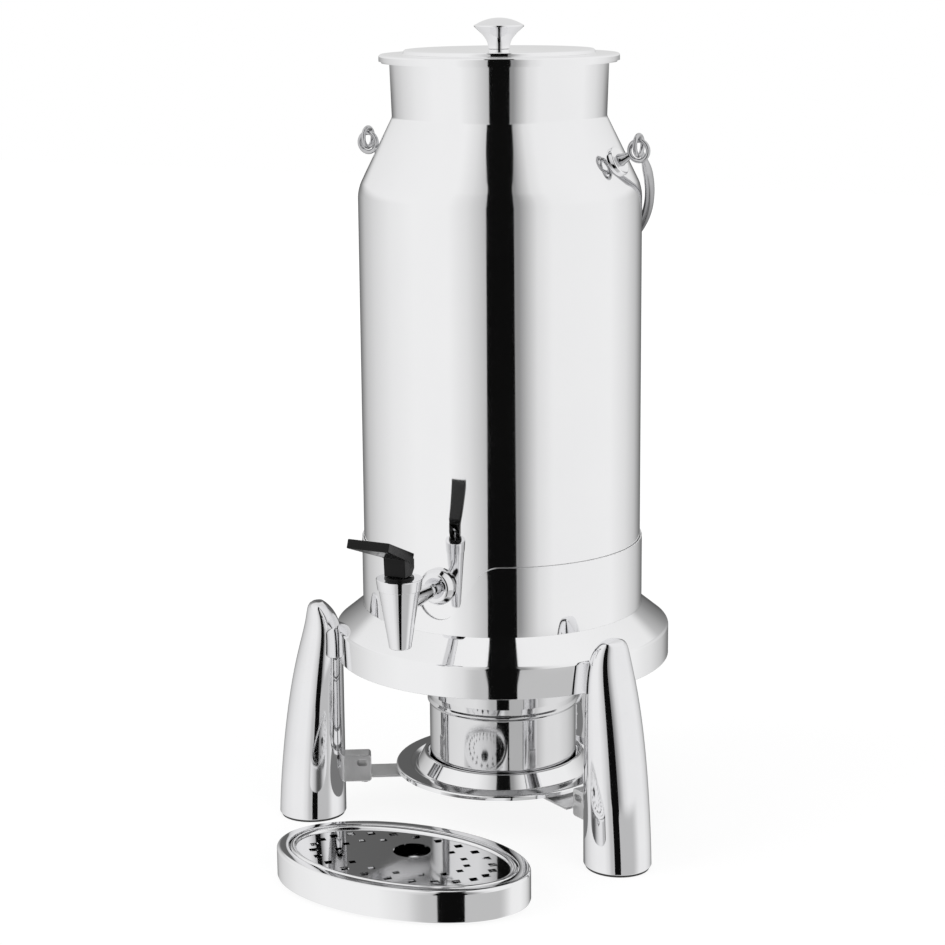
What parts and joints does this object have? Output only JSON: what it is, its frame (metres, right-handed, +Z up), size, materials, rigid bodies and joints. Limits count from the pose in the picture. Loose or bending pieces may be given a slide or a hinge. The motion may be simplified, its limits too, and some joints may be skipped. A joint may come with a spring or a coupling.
{
  "type": "hot water urn",
  "caption": "Polished steel drinks urn shaped like a milk churn, with a lever tap, lift-off lid and swinging bail, on a legged ring over a fuel burner, with a loose oval drip tray.",
  "frame": {"origin": "at table height, under the middle of the box round the urn, its legs and its drip tray", "axes": "+Z up along the urn's axis, -Y towards the tap and the drip tray, +X to the right of a person who faces the tap"},
  "size_m": [0.2934, 0.394, 0.5781],
  "materials": {
    "polished_steel": "mirror-polished stainless steel",
    "leg_chrome": "polished cast metal",
    "plain_steel": "plain rolled stainless steel",
    "tap_chrome": "chromed brass",
    "tap_black": "smooth black heat-resistant plastic",
    "seal_silicone": "translucent silicone",
    "foot_rubber": "matt rubber",
    "fastener_steel": "turned stainless steel",
    "can_tin": "plain tinned can"
  },
  "bodies": {
    "stand": {"stand_ring": "polished_steel", "stand_collar": "polished_steel", "urn_seat": "plain_steel", "leg_left": "leg_chrome", "leg_right": "leg_chrome", "leg_rear": "leg_chrome", "foot_pad_left": "foot_rubber", "foot_pad_right": "foot_rubber", "foot_pad_rear": "foot_rubber", "leg_screws": "fastener_steel", "leg_bracket_left": "plain_steel", "leg_bracket_right": "plain_steel", "leg_bracket_rear": "plain_steel", "burner_strap": "plain_steel", "bracket_screws": "fastener_steel", "burner_dish": "polished_steel", "dish_screw": "fastener_steel"},
    "burner": {"burner_cup": "polished_steel", "fuel_can": "can_tin", "cup_lid": "polished_steel", "damper_rivet": "fastener_steel"},
    "damper": {"damper": "polished_steel"},
    "urn": {"urn_shell": "polished_steel", "urn_neck": "polished_steel", "urn_base": "plain_steel", "neck_rim": "polished_steel", "handle_plate_left": "polished_steel", "handle_plate_right": "polished_steel", "handle_eye_left": "polished_steel", "handle_eye_right": "polished_steel", "handle_nuts": "fastener_steel", "tap_body": "tap_chrome", "tap_collar": "tap_chrome", "tap_bonnet": "tap_black", "tap_escutcheon": "tap_chrome", "tap_seal_outer": "seal_silicone", "tap_seal_inner": "seal_silicone", "tap_nut": "fastener_steel", "tap_spring": "fastener_steel"},
    "bail": {"bail": "polished_steel", "bail_loop_left": "polished_steel", "bail_loop_right": "polished_steel"},
    "lid": {"lid": "polished_steel", "lid_spigot": "polished_steel", "lid_knob": "polished_steel", "knob_screw": "fastener_steel"},
    "tap_stem": {"tap_stem": "fastener_steel", "seat_cup": "seal_silicone"},
    "tap_lever": {"tap_lever": "tap_black", "lever_pin": "fastener_steel"},
    "tray": {"tray_pan": "polished_steel", "tray_feet": "foot_rubber"},
    "strainer": {"strainer": "polished_steel"}
  },
  "joints": [
    {"name": "urn_lift", "type": "slide", "parent": "stand", "child": "urn", "axis": [0, 0, 1], "range_m": [0, 0.08]},
    {"name": "lid_lift", "type": "slide", "parent": "urn", "child": "lid", "axis": [0, 0, 1], "range_m": [0, 0.05]},
    {"name": "bail_swing", "type": "hinge", "parent": "urn", "child": "bail", "pos_m": [0, 0.031, 0.49298], "axis": [1, 0, 0], "range_deg": [0, 264]},
    {"name": "stem_lift", "type": "slide", "parent": "urn", "child": "tap_stem", "axis": [0, 0, 1], "range_m": [0, 0.00199], "stiffness_N_per_m": 300, "springref_m": -0.005, "deforming": ["tap_spring"]},
    {"name": "lever_tilt", "type": "hinge", "parent": "tap_stem", "child": "tap_lever", "pos_m": [0, -0.126, 0.22245], "axis": [1, 0, 0], "range_deg": [0, 22]},
    {"name": "burner_lift", "type": "slide", "parent": "stand", "child": "burner", "axis": [0, 0, 1], "range_m": [0, 0.016]},
    {"name": "damper_swing", "type": "hinge", "parent": "burner", "child": "damper", "pos_m": [0, 0.07, 0.1037], "axis": [0, 0, 1], "range_deg": [0, 100]},
    {"name": "tray_slide", "type": "slide", "parent": "stand", "child": "tray", "axis": [0, -1, 0], "range_m": [0, 0.08]},
    {"name": "strainer_lift", "type": "slide", "parent": "tray", "child": "strainer", "axis": [0, 0, 1], "range_m": [0, 0.03]}
  ],
  "couplings": [
    {"joint": "lever_tilt", "follows": "stem_lift", "rad_per_m": 192.3}
  ]
}
